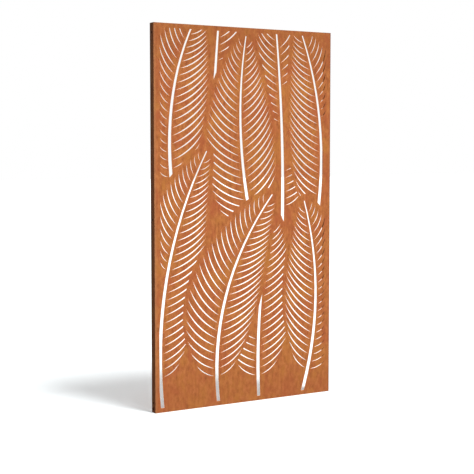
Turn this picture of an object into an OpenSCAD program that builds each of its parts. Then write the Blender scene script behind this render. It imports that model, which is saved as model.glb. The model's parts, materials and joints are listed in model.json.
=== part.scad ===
// Laser cut screen in weathering steel: a cut face sheet welded to a frame of folded angles.
// X runs across the face, Y from the face (-Y) to the back, Z up. The origin is mid-width,
// mid-depth, on the floor.

/* [Panel] */
// Overall width
panel_w = 1100; // [900:10:1400]
// Overall height
panel_h = 2050; // [1800:10:2400]
// Overall depth, from the face to the back of the lips
panel_d = 50; // [40:1:80]

/* [Sheet and frame] */
// Thickness of the face sheet
face_t = 2; // [1.5:0.5:4]
// Thickness of the frame angles
frame_t = 4; // [2:0.5:5]
// Width of the stiles' rear lip, turned inwards
lip_w = 20; // [15:1:35]
// Width of the rails' rear lip, too low to show through the slots
rail_lip_w = 12; // [10:1:20]
// Inside radius of the fold between a side and its lip
fold_r = 2; // [1:0.5:4]

/* [Side holes] */
// Diameter of the fixing holes in the stiles
fixing_d = 10; // [6:0.5:14]
// Height of the lowest fixing hole, and depth of the highest below the top
fixing_inset = 50; // [40:1:120]
// Diameter of the drain hole near each foot
drain_d = 14; // [8:1:16]
// Height of the drain hole
drain_h = 20; // [18:1:24]

/* [Welds] */
// Leg of a weld bead
weld_leg = 3; // [2:0.5:5]
// Length of one stitch weld
stitch_l = 30; // [15:1:50]
// Least distance between stitch welds, middle to middle
stitch_pitch = 200; // [120:10:300]
// Distance of the first stitch weld from the corner
stitch_inset = 90; // [70:5:150]

/* [Cut pattern] */
// Uncut border round the pattern
border_w = 25; // [20:1:60]
// Further distance of the leaflets' tips from the borders at the sides
tip_gap = 8; // [0:1:30]
// Length of the longest leaflet
leaflet_l = 260; // [160:5:300]
// Widest part of the longest leaflet
leaflet_w = 6.5; // [5:0.5:12]
// Distance between leaflets along a stem
leaflet_pitch = 39; // [34:1:70]
// Width of a stem where it starts
stem_w = 20; // [10:0.5:24]
// Width of a stem at its tip
stem_tip_w = 6; // [3:0.5:10]
// Metal left between a stem and its leaflets
bridge_w = 8; // [6:0.5:14]
// Metal left round a frond that lies in front of another
veil_w = 24; // [12:1:40]
// Shortest piece of a leaflet that is still cut
least_cut_l = 48; // [20:2:80]

/* [Hidden] */

// Fronds from front to back: root, bend and tip, as shares of the cut field
fronds = [
    [[0.34, -0.02], [0.26, 0.30], [0.66, 0.56]],
    [[0.84, -0.02], [1.02, 0.26], [0.86, 0.54]],
    [[0.02, -0.02], [-0.06, 0.36], [0.27, 0.68]],
    [[0.60, 0.36], [0.40, 0.68], [0.50, 0.99]],
    [[0.91, 0.40], [1.06, 0.74], [0.82, 1.03]],
    [[0.10, 0.50], [-0.02, 0.82], [0.23, 1.05]],
    [[0.58, -0.02], [0.55, 0.25], [0.66, 0.50]],
    [[0.29, 0.62], [0.31, 0.86], [0.36, 1.14]],
    [[0.72, 0.44], [0.74, 0.76], [0.66, 1.12]],
];

// Share of a frond's length that is bare stem
bare_share = 0.10;
// How late a stem narrows along a frond; 1 is an even taper
stem_taper = 1.5;
// How soon the leaflets reach full length along a frond, and how round its outline is
outline_rise = 0.62;
outline_round = 0.8;
// Angle between stem and leaflet at the lowest pair and at the tip
root_angle = 60;
tip_angle = 34;
// Bow of a leaflet, as a share of its length
bow_share = 0.07;
// Points along each side of a stem
stem_steps = 16;
// Distance between the points at which a leaflet is looked at
look_step = 12;

field_w = panel_w - 2 * border_w;
field_h = panel_h - 2 * border_w;
fold_outer_r = fold_r + frame_t;
fixing_heights = [fixing_inset, panel_h / 2, panel_h - fixing_inset];
cut_extra = 1;
arc_segments = 180;
round_segments = 48;
steel = [0.74, 0.46, 0.29];
weld_steel = [0.52, 0.36, 0.27];

// The fronds

function mix(a, b, t) = a + (b - a) * t;

function at_field(share) = [share[0] * field_w - field_w / 2, share[1] * field_h + border_w];

function stem_point(f, t) =
    pow(1 - t, 2) * at_field(f[0]) + 2 * t * (1 - t) * at_field(f[1]) + t * t * at_field(f[2]);

function stem_direction(f, t) =
    let (d = (1 - t) * (at_field(f[1]) - at_field(f[0])) + t * (at_field(f[2]) - at_field(f[1])))
    atan2(d[1], d[0]);

function stem_half(t) = mix(stem_w, stem_tip_w, pow(t, stem_taper)) / 2;

// Length of a leaflet at t along the frond, as a share of the longest
function leaflet_share(t) =
    t <= bare_share
        ? 0
        : pow(sin(180 * pow((t - bare_share) / (1 - bare_share), outline_rise)), outline_round);

function leaflet_angle(t) = mix(root_angle, tip_angle, t);

function polar(r, a) = [r * cos(a), r * sin(a)];

function beside_stem(f, t, side, across) =
    stem_point(f, t) + polar(across, stem_direction(f, t) - side * 90);

function leaflet_start(t) = (stem_half(t) + bridge_w) / sin(leaflet_angle(t));

// How far a leaflet can run from its start before it comes to the border at a side
function side_room(start, along) =
    (sign(cos(along)) * (field_w / 2 - tip_gap) - start[0]) / cos(along);

function leaflet_end(f, t, side, extra) =
    stem_point(f, t)
    + polar(leaflet_start(t) + leaflet_l * leaflet_share(t) + extra, leaflet_along(f, t, side));

function leaflet_along(f, t, side) = stem_direction(f, t) - side * leaflet_angle(t);

// The ground that a frond covers, which nothing behind it may cut
function veil_outline(f) =
    let (ts = [for (i = [0:stem_steps]) i / stem_steps])
    [
        for (t = ts) leaflet_end(f, t, 1, veil_w),
        for (i = [stem_steps:-1:0]) leaflet_end(f, ts[i], -1, veil_w),
    ];

veils = [for (f = fronds) veil_outline(f)];

function crosses(a, b, p) =
    (a[1] > p[1]) != (b[1] > p[1]) && p[0] < a[0] + (p[1] - a[1]) * (b[0] - a[0]) / (b[1] - a[1]);

function covers(outline, p) =
    let (last = len(outline) - 1)
    len([for (i = [0:last]) if (crosses(outline[i], outline[i == last ? 0 : i + 1], p)) i]) % 2 == 1;

function shows(p, rank) =
    abs(p[0]) < field_w / 2
    && p[1] > border_w
    && p[1] < border_w + field_h
    && len([for (j = [0:1:rank - 1]) if (covers(veils[j], p)) j]) == 0;

// How much of a leaflet the border and the fronds in front leave to be seen
function shown_length(start, along, l, rank) =
    look_step * len([for (d = [look_step / 2:look_step:l]) if (shows(start + polar(d, along), rank)) d]);

function arc_radius(chord, rise) = (chord * chord / 4 + rise * rise) / (2 * rise);

// A curved slot, pointed at both ends, from the origin along +X and bowed towards -Y
module leaflet(l, w) {
    bow = bow_share * l;
    outer_r = arc_radius(l, bow + w);
    inner_r = arc_radius(l, bow);
    difference() {
        translate([l / 2, outer_r - bow - w]) circle(outer_r, $fn = arc_segments);
        translate([l / 2, inner_r - bow]) circle(inner_r, $fn = arc_segments);
    }
}

module stem(f) {
    ts = [for (i = [0:stem_steps]) i / stem_steps];
    polygon([
        for (t = ts) beside_stem(f, t, 1, stem_half(t)),
        for (i = [stem_steps:-1:0]) beside_stem(f, ts[i], -1, stem_half(ts[i])),
    ]);
}

module leaflets(rank) {
    f = fronds[rank];
    length = norm(at_field(f[2]) - at_field(f[0]));
    count = floor(length * (1 - bare_share) / leaflet_pitch);
    for (i = [1:count - 1], side = [-1, 1]) {
        t = bare_share + (1 - bare_share) * i / count;
        along = leaflet_along(f, t, side);
        start = stem_point(f, t) + polar(leaflet_start(t), along);
        l = min(leaflet_l * leaflet_share(t), side_room(start, along));
        if (shown_length(start, along, l, rank) >= least_cut_l) {
            translate(start)
                rotate(along)
                    mirror([0, side < 0 ? 1 : 0])
                        leaflet(l, leaflet_w * sqrt(l / leaflet_l));
        }
    }
}

module cut_pattern() {
    intersection() {
        translate([-field_w / 2, border_w]) square([field_w, field_h]);
        union() {
            for (i = [0:len(fronds) - 1]) {
                difference() {
                    union() {
                        stem(fronds[i]);
                        leaflets(i);
                    }
                    for (j = [0:1:i - 1]) polygon(veils[j]);
                }
            }
        }
    }
}

// The frame: a member starts at the origin, X inwards, Y to the back, Z along it

module angle_section(lip) {
    translate([0, face_t]) square([frame_t, panel_d - face_t - fold_outer_r]);
    translate([fold_outer_r, panel_d - frame_t]) square([lip - fold_outer_r, frame_t]);
    translate([fold_outer_r, panel_d - fold_outer_r]) {
        intersection() {
            difference() {
                circle(fold_outer_r, $fn = round_segments);
                circle(fold_r, $fn = round_segments);
            }
            translate([-fold_outer_r, 0]) square(fold_outer_r);
        }
    }
}

module side_hole(d, z) {
    translate([-cut_extra, panel_d / 2, z])
        rotate([0, 90, 0])
            cylinder(d = d, h = frame_t + 2 * cut_extra, $fn = round_segments);
}

module stile() {
    difference() {
        linear_extrude(panel_h) angle_section(lip_w);
        for (z = fixing_heights) side_hole(fixing_d, z);
        side_hole(drain_d, drain_h);
    }
}

// The rails stand between the stiles, coped at both ends to clear the stiles' lips
module rail() {
    difference() {
        translate([0, 0, frame_t]) linear_extrude(panel_w - 2 * frame_t) angle_section(rail_lip_w);
        for (z = [0, panel_w - lip_w])
            translate([-cut_extra, panel_d - fold_outer_r, z])
                cube([rail_lip_w + 2 * cut_extra, fold_outer_r + cut_extra, lip_w]);
    }
}

// A quarter round bead in the corner at the origin, along Z
module bead(length) {
    linear_extrude(length) {
        intersection() {
            circle(weld_leg, $fn = round_segments);
            square(weld_leg);
        }
    }
}

module stitch_row(length) {
    span = length - 2 * stitch_inset;
    gaps = max(1, floor(span / stitch_pitch));
    for (i = [0:gaps]) {
        translate([frame_t, face_t, stitch_inset + span * i / gaps - stitch_l / 2]) bead(stitch_l);
    }
}

// A half round bead over a joint at the origin, along Z
module flat_bead(length) {
    linear_extrude(length) {
        intersection() {
            circle(weld_leg, $fn = round_segments);
            translate([-weld_leg, -weld_leg]) square([2 * weld_leg, weld_leg]);
        }
    }
}

// Two beads at the foot of the left stile: up the corner of the sides, and over the joint of the lips
module corner_weld() {
    translate([frame_t, face_t + weld_leg, frame_t])
        mirror([0, 1, -1])
            bead(panel_d - face_t - weld_leg - fold_outer_r);
    translate([lip_w, panel_d - frame_t, fold_outer_r]) flat_bead(rail_lip_w - fold_outer_r);
}

// Places on the panel

module on_left() {
    translate([-panel_w / 2, -panel_d / 2, 0]) children();
}

module on_right() {
    mirror([1, 0, 0]) on_left() children();
}

module on_bottom() {
    on_left() mirror([1, 0, -1]) children();
}

module on_top() {
    translate([0, 0, panel_h]) mirror([0, 0, 1]) on_bottom() children();
}

module upside_down() {
    translate([0, 0, panel_h]) mirror([0, 0, 1]) children();
}

// The sub-parts

module face_sheet() {
    color(steel)
        translate([0, face_t - panel_d / 2, 0])
            rotate([90, 0, 0])
                linear_extrude(face_t)
                    difference() {
                        translate([-panel_w / 2, 0]) square([panel_w, panel_h]);
                        cut_pattern();
                    }
}

module left_stile() {
    color(steel) on_left() stile();
}

module right_stile() {
    color(steel) on_right() stile();
}

module top_rail() {
    color(steel) on_top() rail();
}

module bottom_rail() {
    color(steel) on_bottom() rail();
}

module top_left_corner_weld() {
    color(weld_steel) upside_down() on_left() corner_weld();
}

module top_right_corner_weld() {
    color(weld_steel) upside_down() on_right() corner_weld();
}

module bottom_left_corner_weld() {
    color(weld_steel) on_left() corner_weld();
}

module bottom_right_corner_weld() {
    color(weld_steel) on_right() corner_weld();
}

module left_stitch_welds() {
    color(weld_steel) on_left() stitch_row(panel_h);
}

module right_stitch_welds() {
    color(weld_steel) on_right() stitch_row(panel_h);
}

module top_stitch_welds() {
    color(weld_steel) on_top() stitch_row(panel_w);
}

module bottom_stitch_welds() {
    color(weld_steel) on_bottom() stitch_row(panel_w);
}

face_sheet();
left_stile();
right_stile();
top_rail();
bottom_rail();
top_left_corner_weld();
top_right_corner_weld();
bottom_left_corner_weld();
bottom_right_corner_weld();
left_stitch_welds();
right_stitch_welds();
top_stitch_welds();
bottom_stitch_welds();
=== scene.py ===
# Laser cut screen in weathering steel, standing on a pale studio floor
import json
import math
import random

import bmesh
import bpy
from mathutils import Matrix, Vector, noise


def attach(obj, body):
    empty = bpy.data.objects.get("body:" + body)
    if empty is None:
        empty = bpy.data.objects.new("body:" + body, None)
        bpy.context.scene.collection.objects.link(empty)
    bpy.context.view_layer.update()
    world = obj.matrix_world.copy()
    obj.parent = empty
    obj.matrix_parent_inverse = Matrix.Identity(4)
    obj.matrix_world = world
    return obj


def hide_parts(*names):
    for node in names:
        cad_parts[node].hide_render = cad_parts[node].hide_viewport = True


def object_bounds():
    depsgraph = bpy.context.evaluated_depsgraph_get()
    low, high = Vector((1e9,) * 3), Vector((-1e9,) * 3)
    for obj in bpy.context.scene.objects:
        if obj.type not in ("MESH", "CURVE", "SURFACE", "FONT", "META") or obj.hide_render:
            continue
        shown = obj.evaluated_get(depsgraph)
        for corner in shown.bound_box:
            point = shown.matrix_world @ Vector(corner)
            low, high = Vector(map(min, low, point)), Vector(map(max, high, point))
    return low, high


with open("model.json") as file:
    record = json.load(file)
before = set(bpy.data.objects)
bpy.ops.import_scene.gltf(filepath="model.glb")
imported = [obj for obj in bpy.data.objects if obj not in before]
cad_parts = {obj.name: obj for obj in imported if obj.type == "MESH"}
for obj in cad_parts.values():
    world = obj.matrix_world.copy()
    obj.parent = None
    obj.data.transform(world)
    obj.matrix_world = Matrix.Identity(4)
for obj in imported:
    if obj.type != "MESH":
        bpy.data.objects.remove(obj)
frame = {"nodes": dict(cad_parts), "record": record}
cadLow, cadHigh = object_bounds()
scene = bpy.context.scene
pieces = frame["nodes"]
print("frame loaded:", len(pieces), "pieces")


# camera: left front, a little above mid-height
cameraLook = {
    "place": (-2.9421, -5.2001, 1.4009),
    "turn": 29.42,                # degrees to the right of straight at the face
    "tilt": 4.03,                 # degrees down
    "lens": 82.8,
    "sensor": 36.0,
    "shift": (-0.0111, -0.0254),  # the picture is cropped a little off the lens's axis
    "reach": 200,                 # metres, past the far edge of the floor
}


def addCamera(look):
    data = bpy.data.cameras.new("camera")
    data.lens = look["lens"]
    data.sensor_width = look["sensor"]
    data.shift_x, data.shift_y = look["shift"]
    data.clip_end = look["reach"]
    camera = bpy.data.objects.new("camera", data)
    scene.collection.objects.link(camera)
    camera.location = look["place"]
    camera.rotation_euler = (math.radians(90 - look["tilt"]), 0, -math.radians(look["turn"]))
    scene.camera = camera


addCamera(cameraLook)
print("camera placed")


# small helpers for the node trees
def addNode(tree, kind, inputs=None, **settings):
    made = tree.nodes.new(kind)
    for name, value in settings.items():
        setattr(made, name, value)
    for name, value in (inputs or {}).items():
        if isinstance(value, bpy.types.NodeSocket):
            tree.links.new(value, made.inputs[name])
        else:
            made.inputs[name].default_value = value
    return made


def doMath(tree, operation, *values):
    return addNode(tree, "ShaderNodeMath", dict(enumerate(values)), operation=operation).outputs[0]


def times(tree, a, b):
    return doMath(tree, "MULTIPLY", a, b)


def minus(tree, a, b):
    return doMath(tree, "SUBTRACT", a, b)


def smaller(tree, a, b):
    return doMath(tree, "MINIMUM", a, b)


def larger(tree, a, b):
    return doMath(tree, "MAXIMUM", a, b)


def distance(tree, a, b):
    return doMath(tree, "SQRT", doMath(tree, "ADD", times(tree, a, a), times(tree, b, b)))


def fade(tree, value, start, end):   # 0 at start, 1 at end, eased
    inputs = {"Value": value, "From Min": start, "From Max": end}
    return addNode(tree, "ShaderNodeMapRange", inputs, interpolation_type="SMOOTHSTEP").outputs[0]


def blend(tree, amount, under, over):
    made = addNode(tree, "ShaderNodeMix", data_type="RGBA")
    for slot, value in ((0, amount), (6, under), (7, over)):   # the colour inputs are 6 and 7
        if isinstance(value, bpy.types.NodeSocket):
            tree.links.new(value, made.inputs[slot])
        else:
            made.inputs[slot].default_value = value if slot == 0 else (*value, 1)
    return made.outputs[2]


def layer(tree, colour, mask, amount, shade):   # shade over colour, where the mask lets it
    return blend(tree, times(tree, mask, amount), colour, shade)


def colourRamp(tree, amount, stops):
    made = addNode(tree, "ShaderNodeValToRGB", {"Fac": amount})
    band = made.color_ramp.elements
    while len(band) < len(stops):
        band.new(0.5)
    for stop, (where, colour) in zip(band, stops):
        stop.position = where
        stop.color = (*colour, 1)
    return made.outputs["Color"]


def stretched(tree, spot, stretch, shift=(0, 0, 0)):
    inputs = {"Vector": spot, "Scale": stretch, "Location": shift}
    return addNode(tree, "ShaderNodeMapping", inputs).outputs[0]


def grain(tree, spot, scale, detail=4, roughness=0.55, distortion=0):
    inputs = {"Vector": spot, "Scale": scale, "Detail": detail, "Roughness": roughness,
              "Distortion": distortion}
    return addNode(tree, "ShaderNodeTexNoise", inputs).outputs[0]


def newMaterial(name):
    made = bpy.data.materials.new(name)
    made.use_nodes = True
    made.node_tree.nodes.clear()
    return made, made.node_tree


def finishMaterial(tree, surface):
    made = addNode(tree, "ShaderNodeOutputMaterial")
    tree.links.new(surface.outputs[0], made.inputs["Surface"])


def objectSpot(tree):   # place on the piece, its three coordinates, and those of the normal
    made = addNode(tree, "ShaderNodeTexCoord").outputs
    axes = addNode(tree, "ShaderNodeSeparateXYZ", {"Vector": made["Object"]}).outputs
    facing = addNode(tree, "ShaderNodeSeparateXYZ", {"Vector": made["Normal"]}).outputs
    return made["Object"], axes, facing


squareOn = (0.4, 0.6)   # how far a normal points one way when it starts to count, and in full


def faces(tree, part, sign=1):   # 1 where the surface faces that way
    return fade(tree, part, sign * squareOn[0], sign * squareOn[1])


# where the welds lie, read from the plain beads
def islands(piece):   # lowest and highest corner of each bead
    mesh = bmesh.new()
    mesh.from_mesh(piece.data)
    bmesh.ops.remove_doubles(mesh, verts=mesh.verts, dist=1e-6)   # joins the facets of a bead
    unseen = set(mesh.verts)
    found = []
    while unseen:
        group, edge = [], [unseen.pop()]
        while edge:
            vert = edge.pop()
            group.append(vert.co.copy())
            for link in vert.link_edges:
                other = link.other_vert(vert)
                if other in unseen:
                    unseen.remove(other)
                    edge.append(other)
        low = Vector([min(p[k] for p in group) for k in range(3)])
        high = Vector([max(p[k] for p in group) for k in range(3)])
        found.append((low, high))
    mesh.free()
    return sorted(found, key=lambda ends: (ends[0].x, ends[0].y, ends[0].z))


def rowOf(name, axis):
    beads = islands(pieces[name])
    middles = sorted((low[axis] + high[axis]) / 2 for low, high in beads)
    low, high = beads[0]
    return {"first": middles[0], "pitch": (middles[-1] - middles[0]) / (len(middles) - 1),
            "half": (high[axis] - low[axis]) / 2}


uprightRow = rowOf("left_stitch_welds", 2)
levelRow = rowOf("bottom_stitch_welds", 0)
sheetBack = islands(pieces["left_stitch_welds"])[0][0].y   # the beads lie against the sheet


# rust: one recipe for all the steel
faceRust = {
    "deep": (0.330, 0.098, 0.032),
    "body": (0.545, 0.178, 0.054),
    "bright": (0.700, 0.262, 0.085),
    "red": (0.510, 0.132, 0.050),
    "yellow": (0.590, 0.225, 0.050),
    "shift": (0, 0, 0),
    "mottle": (1.0, 1.0, 0.6),    # stretch of the blotches
    "runs": (85, 85, 5.5),        # stretch of the streaks
}

# the frame's rust is browner and darker than the face's: partly its own colour, partly painted
# shade for the sides turned from the light
stileRust = {
    "deep": (0.200, 0.078, 0.036),
    "body": (0.350, 0.142, 0.064),
    "bright": (0.480, 0.205, 0.088),
    "red": (0.345, 0.112, 0.052),
    "yellow": (0.400, 0.175, 0.062),
    "shift": (3, 1, 2),
    "mottle": (1.0, 1.0, 0.6),
    "runs": (70, 70, 5.0),
}

railRust = dict(stileRust, shift=(7, 4, 5), mottle=(0.6, 1.0, 1.0), runs=(5.0, 70, 70))

rustGrain = {
    "mottle": {"scale": 46, "detail": 7, "roughness": 0.62},
    "speck": {"scale": 420, "detail": 5, "roughness": 0.72},
    "hue": {"scale": 21, "detail": 4, "roughness": 0.6, "distortion": 0.3},
    "patch": {"scale": 5.5, "detail": 3, "roughness": 0.5, "distortion": 0.4},
    "runs": {"scale": 1, "detail": 4},   # the stretch of the streaks sets their size
    "pits": {"scale": 1300, "detail": 3},
}

rustTone = {
    "specks": 0.36,                # share of the specks in the tone; the blotches have the rest
    "stops": (0.35, 0.50, 0.65),   # tones of the deep, the body and the bright rust
    "hueShift": (5, 5, 5),         # keeps the change of hue apart from the blotches
}

rustLayers = (   # grain, values from which it starts and is full, amount, colour
    ("hue", (0.50, 0.68), 0.65, "red"),
    ("hue", (0.50, 0.32), 0.60, "yellow"),
    ("patch", (0.45, 0.68), 0.45, "red"),
    ("patch", (0.52, 0.32), 0.40, "yellow"),
    ("runs", (0.54, 0.74), 0.40, "deep"),
    ("runs", (0.46, 0.28), 0.30, "bright"),
)

rustFinish = {
    "tones": (0.35, 0.65),
    "rough": (0.92, 0.70),   # roughness at these tones
    "pits": 0.6,             # share of the pits in the relief
    "relief": 0.0004,        # depth of the relief
    "strength": 0.8,
    "shine": 0.10,
}


def rustColour(tree, spot, look):
    spot = stretched(tree, spot, (1, 1, 1), look["shift"])
    along = stretched(tree, spot, look["mottle"])
    aside = stretched(tree, along, (1, 1, 1), rustTone["hueShift"])
    mottle = grain(tree, along, **rustGrain["mottle"])
    speck = grain(tree, spot, **rustGrain["speck"])
    masks = {
        "hue": grain(tree, aside, **rustGrain["hue"]),
        "patch": grain(tree, spot, **rustGrain["patch"]),
        "runs": grain(tree, stretched(tree, spot, look["runs"]), **rustGrain["runs"]),
    }
    blotches = times(tree, mottle, 1 - rustTone["specks"])
    tone = doMath(tree, "MULTIPLY_ADD", speck, rustTone["specks"], blotches)
    shades = (look["deep"], look["body"], look["bright"])
    colour = colourRamp(tree, tone, list(zip(rustTone["stops"], shades)))
    for mask, ends, amount, shade in rustLayers:
        colour = layer(tree, colour, fade(tree, masks[mask], *ends), amount, look[shade])
    return colour, tone


def rustShader(tree, spot, colour, height, finish=rustFinish):
    (low, high), (lowRough, highRough) = finish["tones"], finish["rough"]
    rough = addNode(tree, "ShaderNodeMapRange", {
        "Value": height, "From Min": low, "From Max": high,
        "To Min": lowRough, "To Max": highRough}).outputs[0]
    pits = grain(tree, spot, **rustGrain["pits"])
    height = doMath(tree, "MULTIPLY_ADD", pits, finish["pits"], height)
    bump = addNode(tree, "ShaderNodeBump", {
        "Height": height, "Distance": finish["relief"], "Strength": finish["strength"]}).outputs[0]
    return addNode(tree, "ShaderNodeBsdfPrincipled", {
        "Base Color": colour, "Roughness": rough, "Normal": bump, "Metallic": 0.0,
        "Specular IOR Level": finish["shine"]})


# the wander and the ends are given in reaches
heatLook = {
    "reach": 0.018,                 # how far the heat of a weld has stained the steel
    "wander": 0.5,                  # how uneven the edge of the stain is
    "grain": {"scale": 120, "detail": 3},
    "ash": (0.070, 0.045, 0.038),   # grey-brown scale beside the bead
    "ashEnds": (1.2, 0.6),
    "ashAmount": 0.8,
    "halo": (0.620, 0.190, 0.050),  # brighter rust where the scale ends
    "haloEnds": ((1.7, 1.3), (1.0, 1.2)),
    "haloAmount": 0.5,
}


def fromStitches(tree, along, across, row):   # distance from the nearest bead of a row
    turns = doMath(tree, "DIVIDE", minus(tree, along, row["first"]), row["pitch"])
    gap = times(tree, doMath(tree, "PINGPONG", turns, 0.5), row["pitch"])
    return distance(tree, larger(tree, minus(tree, gap, row["half"]), 0), across)


def heatStain(tree, colour, away, spot, where, look=heatLook):
    reach = look["reach"]
    wander = grain(tree, spot, **look["grain"])
    away = doMath(tree, "MULTIPLY_ADD", wander, reach * look["wander"], away)
    outer, inner = (fade(tree, away, reach * start, reach * end) for start, end in look["haloEnds"])
    halo = times(tree, times(tree, outer, inner), where)
    ash = times(tree, fade(tree, away, *(reach * end for end in look["ashEnds"])), where)
    colour = layer(tree, colour, halo, look["haloAmount"], look["halo"])
    return layer(tree, colour, ash, look["ashAmount"], look["ash"])


cutLook = {
    "shade": (0.140, 0.052, 0.026),   # painted shade along the outer edges, and on the slots near the right side
    "border": (0.0035, 0.001),        # how far they reach in
    "borderAmount": 0.65,
    "fresh": (0.950, 0.430, 0.180),   # bright new rust along the slots
    "rim": 0.0019,                    # its reach on the face, less than the sheet's thickness
    "rimEnds": (0.97, 0.70),          # share of solid steel round a point, which drops at a slot
    "rimAmount": 0.75,
    "rimless": (0.002, 0.004),        # the left edge has the painted highlight and no such rim
    "wallAmount": 0.75,
    "rightShade": (0.051, 0.045),           # painted shade: this near the right edge the slots' rims and walls turn dark, like the shaded inside of the side
    "grooves": {"scale": 2600, "detail": 1},   # fine grooves on the walls of the cuts
    "grooveStretch": (1, 0.02, 1),
    "leftHighlight": (0.015, 0.003),         # painted highlight: lighter band along the left edge
    "leftHighlightColour": (0.520, 0.235, 0.105),
    "leftHighlightAmount": 0.5,
    "foot": (0.45, 0.0),              # darker towards the foot
    "footAmount": 0.25,
    "top": (0.30, 0.06),              # and towards the top
    "topAmount": 0.32,
    "backAmount": 0.40,               # the back is darker than the front
}


def faceSteel(look=cutLook):
    made, tree = newMaterial("faceSteel")
    spot, axes, facing = objectSpot(tree)
    x, z = axes[0], axes[2]
    colour, tone = rustColour(tree, spot, faceRust)
    fromLeft = minus(tree, x, cadLow.x)
    fromRight = minus(tree, cadHigh.x, x)
    fromTop = minus(tree, cadHigh.z, z)
    fromSide = smaller(tree, fromLeft, fromRight)
    fromEnd = smaller(tree, z, fromTop)
    # painted highlight along the left edge; darker at the foot and the top
    leftHighlight = fade(tree, fromLeft, *look["leftHighlight"])
    foot = fade(tree, z, *look["foot"])
    top = fade(tree, fromTop, *look["top"])
    colour = layer(tree, colour, leftHighlight, look["leftHighlightAmount"], look["leftHighlightColour"])
    colour = layer(tree, colour, foot, look["footAmount"], faceRust["deep"])
    colour = layer(tree, colour, top, look["topAmount"], faceRust["deep"])
    # painted shade along the other three edges; the slots' rims and walls rust anew, and near the
    # right side get painted shade
    border = fade(tree, smaller(tree, fromRight, fromEnd), *look["border"])
    colour = layer(tree, colour, border, look["borderAmount"], look["shade"])
    # fresh rust on the slots' rims and walls, with painted shade near the right edge
    freshRustAndShade = blend(tree, fade(tree, fromRight, *look["rightShade"]), look["fresh"], look["shade"])
    inside = addNode(tree, "ShaderNodeAmbientOcclusion", {"Distance": look["rim"]},
                     samples=8, inside=True)
    rim = fade(tree, inside.outputs["AO"], *look["rimEnds"])
    rim = times(tree, rim, fade(tree, fromLeft, *look["rimless"]))
    wall = fade(tree, doMath(tree, "ABSOLUTE", facing[1]), squareOn[1], squareOn[0])
    colour = layer(tree, colour, rim, look["rimAmount"], freshRustAndShade)
    colour = layer(tree, colour, wall, look["wallAmount"], freshRustAndShade)
    grooves = grain(tree, stretched(tree, spot, look["grooveStretch"]), **look["grooves"])
    height = doMath(tree, "MULTIPLY_ADD", wall, grooves, tone)
    # the back never got the sun, and the welds have left their heat on it
    back = faces(tree, facing[1])
    colour = layer(tree, colour, back, look["backAmount"], faceRust["deep"])
    away = smaller(tree, fromStitches(tree, z, fromSide, uprightRow),
                   fromStitches(tree, x, fromEnd, levelRow))
    away = smaller(tree, away, distance(tree, fromSide, fromEnd))
    colour = heatStain(tree, colour, away, spot, back)
    finishMaterial(tree, rustShader(tree, spot, colour, height))
    return made


jointLook = {
    "depth": (0.022, 0.003),     # how far the face's rust has washed round onto the frame
    "amount": 0.55,
    "seam": (0.0009, 0.0003),    # dark line where the sheet and the frame meet
    "seamShade": (0.035, 0.018, 0.012),
    "seamAmount": 0.8,
}

insideShadeLook = {
    "scale": (0.055, 0.036, 0.030),   # painted shade on the inside of the frame, dark brown
    "amount": 0.65,
    "walls": (0.044, 0.042),          # how far behind the sheet the painted shade on the sides ends
    "lips": (0.030, 0.035),           # and where that on the front of the lips starts
}

holeLook = {
    "drain": (0.020, 0.007),          # height and radius; the fixing holes are in the record
    "shade": (0.018, 0.011, 0.008),   # painted shade on the wall of a hole
    "rim": (0.0014, 0.0002),          # how far the painted shade reaches round the hole
    "amount": 0.92,
}


def holeRow():   # height and radius of each hole in a side, in metres
    found = {holeLook["drain"]}
    for mount in frame["record"]["mounts"]:
        if mount["kind"] == "bolt_pattern":
            half = mount["dims"]["spacing_y_mm"] / 1000 / 2
            radius = mount["dims"]["hole_r_mm"] / 1000
            # rounded, so that the hole that two rows share is there once
            found.update((round(mount["pos_m"][2] + step, 4), radius) for step in (-half, half))
    return sorted(found)


def fromHoles(tree, y, z):   # distance from the edge of the nearest hole
    nearest = 1.0   # a metre, past them all
    for height, radius in holeRow():
        away = minus(tree, distance(tree, y, minus(tree, z, height)), radius)
        nearest = smaller(tree, nearest, away)
    return nearest


def frameSteel(name, rust, upright):
    made, tree = newMaterial(name)
    spot, (x, y, z), facing = objectSpot(tree)
    colour, tone = rustColour(tree, spot, rust)
    fromSheet = minus(tree, y, sheetBack)
    fromSide = minus(tree, cadHigh.x, doMath(tree, "ABSOLUTE", x))
    fromEnd = smaller(tree, z, minus(tree, cadHigh.z, z))
    if upright:
        along, row, across, toMiddle = z, uprightRow, facing[0], minus(tree, 0, x)
    else:
        along, row, across, toMiddle = x, levelRow, facing[2], minus(tree, cadHigh.z / 2, z)
    washed = fade(tree, fromSheet, *jointLook["depth"])
    colour = layer(tree, colour, washed, jointLook["amount"], faceRust["red"])
    # painted shade on the inside of the sides and on the front of the lips
    within = faces(tree, times(tree, across, doMath(tree, "SIGN", toMiddle)))
    onSide = times(tree, within, fade(tree, fromSheet, *insideShadeLook["walls"]))
    onLip = times(tree, faces(tree, facing[1], -1), fade(tree, fromSheet, *insideShadeLook["lips"]))
    paintedShadeInside = larger(tree, onSide, onLip)
    colour = layer(tree, colour, paintedShadeInside, insideShadeLook["amount"], insideShadeLook["scale"])
    # heat from the stitches along the sheet and from the bead in each corner
    stitches = fromStitches(tree, along, fromSheet, row)
    away = smaller(tree, stitches, distance(tree, fromSide, fromEnd))
    colour = heatStain(tree, colour, away, spot, within)
    seam = fade(tree, fromSheet, *jointLook["seam"])
    colour = layer(tree, colour, seam, jointLook["seamAmount"], jointLook["seamShade"])
    if upright:   # only the stiles have holes
        # painted shade on the walls of the holes
        holeShade = fade(tree, fromHoles(tree, y, z), *holeLook["rim"])
        colour = layer(tree, colour, holeShade, holeLook["amount"], holeLook["shade"])
    finishMaterial(tree, rustShader(tree, spot, colour, tone))
    return made


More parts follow.
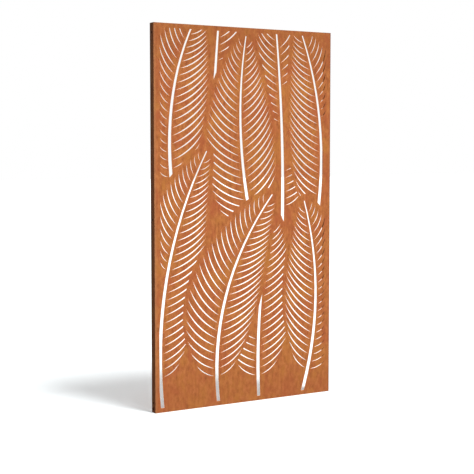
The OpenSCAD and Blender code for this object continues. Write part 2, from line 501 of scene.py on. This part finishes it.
weldLook = {
    "stops": ((0.35, (0.080, 0.045, 0.035)),
              (0.55, (0.220, 0.100, 0.055)),
              (0.70, (0.420, 0.170, 0.070))),
    "grain": {"scale": 260, "detail": 4},
    "finish": dict(rustFinish, rough=(0.75, 0.45), relief=0.0001),
}


def weldSteel(look=weldLook):
    made, tree = newMaterial("weldSteel")
    spot = objectSpot(tree)[0]
    tone = grain(tree, spot, **look["grain"])
    colour = colourRamp(tree, tone, look["stops"])
    finishMaterial(tree, rustShader(tree, spot, colour, tone, look["finish"]))
    return made


def dress(names, material):
    for name in names:
        slots = pieces[name].data.materials
        slots.clear()
        slots.append(material)


weldMaterial = weldSteel()
dress(["face_sheet"], faceSteel())
dress(["left_stile", "right_stile"], frameSteel("stileSteel", stileRust, True))
dress(["top_rail", "bottom_rail"], frameSteel("railSteel", railRust, False))
print("steel painted")


# weld beads, rippled, in the places of the plain ones
beadLook = {
    "ripple": 0.0017,    # length of one ripple
    "step": 0.00034,     # distance between rings
    "facets": 9,         # across the bead
    "hollow": 0.16,      # depth of the ripples, as a share of the leg
    "bend": 1.4,         # above 1 a ripple falls slowly at first and then fast
    "lag": 0.9,          # how far a ripple's ends trail its middle, in ripples
    "endRun": 0.0026,    # length over which an end rounds off
    "endHeight": 0.15,   # what is left of the leg at the very end
    "sway": 0.06,        # how much the leg varies along the bead
    "swayRate": 160,     # changes of the leg per metre
}

draw = random.Random(7)   # where in a ripple each bead starts


def addBead(mesh, root, along, length, wallA, wallB, leg, spread, start, look=beadLook):
    count = round(length / look["step"])
    rings = []
    for i in range(count + 1):
        run = length * i / count
        ends = min(run, length - run) / look["endRun"]
        taper = math.sqrt(max(0.0, 1 - (1 - ends) ** 2)) if ends < 1 else 1.0
        taper = look["endHeight"] + (1 - look["endHeight"]) * taper
        sway = 1 - look["sway"] * (1 + noise.noise(Vector((run * look["swayRate"], start, 0))))
        ring = [mesh.verts.new(root + along * run)]
        for j in range(look["facets"]):
            across = j / (look["facets"] - 1)
            phase = run / look["ripple"] - look["lag"] * (2 * across - 1) ** 2 + start
            dip = look["hollow"] * (phase % 1.0) ** look["bend"]
            turn = spread * across
            reach = leg * sway * (1 - dip) * taper
            outward = wallA * math.cos(turn) + wallB * math.sin(turn)
            ring.append(mesh.verts.new(ring[0].co + reach * outward))
        rings.append(ring)
    size = len(rings[0])
    for a, b in zip(rings, rings[1:]):
        for j in range(size):
            k = (j + 1) % size
            mesh.faces.new((a[j], a[k], b[k], b[j]))
    mesh.faces.new(rings[0][::-1])
    mesh.faces.new(rings[-1])


def weldPiece(name, beads):
    mesh = bmesh.new()
    for bead in beads:
        addBead(mesh, *bead)
    bmesh.ops.recalc_face_normals(mesh, faces=mesh.faces)
    data = bpy.data.meshes.new(name + "_ripples")
    mesh.to_mesh(data)
    mesh.free()
    for face in data.polygons:
        face.use_smooth = len(face.vertices) == 4   # the ends stay flat
    data.materials.append(weldMaterial)
    piece = bpy.data.objects.new(name + "_ripples", data)
    scene.collection.objects.link(piece)
    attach(piece, "root")
    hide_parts(name)


def stitchBeads(name, outward):   # in the corner of the sheet and one side
    beads = []
    for low, high in islands(pieces[name]):
        size = high - low
        axis = max(range(3), key=lambda k: size[k])
        along = Vector([1.0 if k == axis else 0.0 for k in range(3)])
        corner = Vector([high[k] if outward[k] > 0 else low[k] for k in range(3)])
        corner[axis] = low[axis]
        beads.append((corner, along, size[axis], -outward, Vector((0, 1, 0)), size.y,
                      math.pi / 2, draw.uniform(0, 1)))
    return beads


def cornerBeads(name, side, end):
    beads = []
    for low, high in islands(pieces[name]):
        size = high - low
        if size.y > size.x:   # up the corner of the two sides
            corner = Vector((high.x if side > 0 else low.x, low.y, high.z if end > 0 else low.z))
            beads.append((corner, Vector((0, 1, 0)), size.y, Vector((-side, 0, 0)),
                          Vector((0, 0, -end)), size.x, math.pi / 2, draw.uniform(0, 1)))
        else:                 # over the joint of the two lips
            foot = Vector(((low.x + high.x) / 2, high.y, low.z))
            beads.append((foot, Vector((0, 0, 1)), size.z, Vector((1, 0, 0)),
                          Vector((0, -1, 0)), size.y, math.pi, draw.uniform(0, 1)))
    return beads


for name, outward in (("left_stitch_welds", (-1, 0, 0)), ("right_stitch_welds", (1, 0, 0)),
                      ("top_stitch_welds", (0, 0, 1)), ("bottom_stitch_welds", (0, 0, -1))):
    weldPiece(name, stitchBeads(name, Vector(outward)))
for endName, end in (("bottom", -1), ("top", 1)):
    for sideName, side in (("left", -1), ("right", 1)):
        name = f"{endName}_{sideName}_corner_weld"
        weldPiece(name, cornerBeads(name, side, end))
print("weld beads laid")


# floor, light and background
floorLook = {
    "size": 80.0,
    "seen": (0.930, 0.985, 1.000),   # as the camera sees it
    "glow": 0.215,                   # lifts what the camera sees to white outside the shadow
    "bounce": (0.12, 0.12, 0.12),    # as it lights the screen from below
}


def addFloor(look):
    bpy.ops.mesh.primitive_plane_add(size=look["size"])
    floor = bpy.context.object
    floor.name = "floor"
    made, tree = newMaterial("floorPaint")
    seen = addNode(tree, "ShaderNodeLightPath").outputs["Is Camera Ray"]
    colour = blend(tree, seen, look["bounce"], look["seen"])
    paint = addNode(tree, "ShaderNodeBsdfDiffuse", {"Color": colour})
    glow = addNode(tree, "ShaderNodeEmission", {"Strength": times(tree, seen, look["glow"])})
    both = addNode(tree, "ShaderNodeAddShader", {0: paint.outputs[0], 1: glow.outputs[0]})
    finishMaterial(tree, both)
    floor.data.materials.append(made)


lampLook = {
    "key": {"from": (0.215, -0.459, 0.862), "power": 3.0, "spread": 19},
    "front": {"from": (0.35, -0.92, 0.18), "power": 1.30, "spread": 60},   # on the screen only
    "back": {"from": (0.45, 0.80, 0.40), "power": 1.7, "spread": 30},      # on the screen only
    "room": (0.10, 0.55),   # light of the room at the horizon and overhead
}


def addLamp(name, look):
    data = bpy.data.lights.new(name, "SUN")
    data.energy = look["power"]
    data.angle = math.radians(look["spread"])
    lamp = bpy.data.objects.new(name, data)
    scene.collection.objects.link(lamp)
    lamp.rotation_mode = "QUATERNION"
    lamp.rotation_quaternion = Vector(look["from"]).to_track_quat("Z", "Y")
    return lamp


def lightOnly(lamp, lit):
    group = bpy.data.collections.new("lit by " + lamp.name)
    for piece in lit:
        group.objects.link(piece)
    lamp.light_linking.receiver_collection = group


def addRoom(levels):   # white where it is seen, a gradient where it gives light
    world = bpy.data.worlds.new("room")
    world.use_nodes = True
    tree = world.node_tree
    tree.nodes.clear()
    path = addNode(tree, "ShaderNodeLightPath").outputs
    seen = larger(tree, path["Is Camera Ray"], path["Is Glossy Ray"])
    seen = larger(tree, seen, path["Is Transmission Ray"])
    around = addNode(tree, "ShaderNodeTexCoord").outputs["Generated"]
    up = addNode(tree, "ShaderNodeSeparateXYZ", {"Vector": around}).outputs[2]
    level = addNode(tree, "ShaderNodeMapRange", {
        "Value": up, "To Min": levels[0], "To Max": levels[1]}).outputs[0]
    level = addNode(tree, "ShaderNodeMapRange", {
        "Value": seen, "To Min": level, "To Max": 1.0}).outputs[0]
    backdrop = addNode(tree, "ShaderNodeBackground", {"Color": (1, 1, 1, 1), "Strength": level})
    output = addNode(tree, "ShaderNodeOutputWorld")
    tree.links.new(backdrop.outputs[0], output.inputs["Surface"])
    scene.world = world


screen = [piece for piece in scene.objects if piece.type == "MESH"]
addFloor(floorLook)
addLamp("key", lampLook["key"])
for name in ("front", "back"):
    lightOnly(addLamp(name, lampLook[name]), screen)
addRoom(lampLook["room"])
scene.view_settings.view_transform = "Standard"
print("floor and light set")
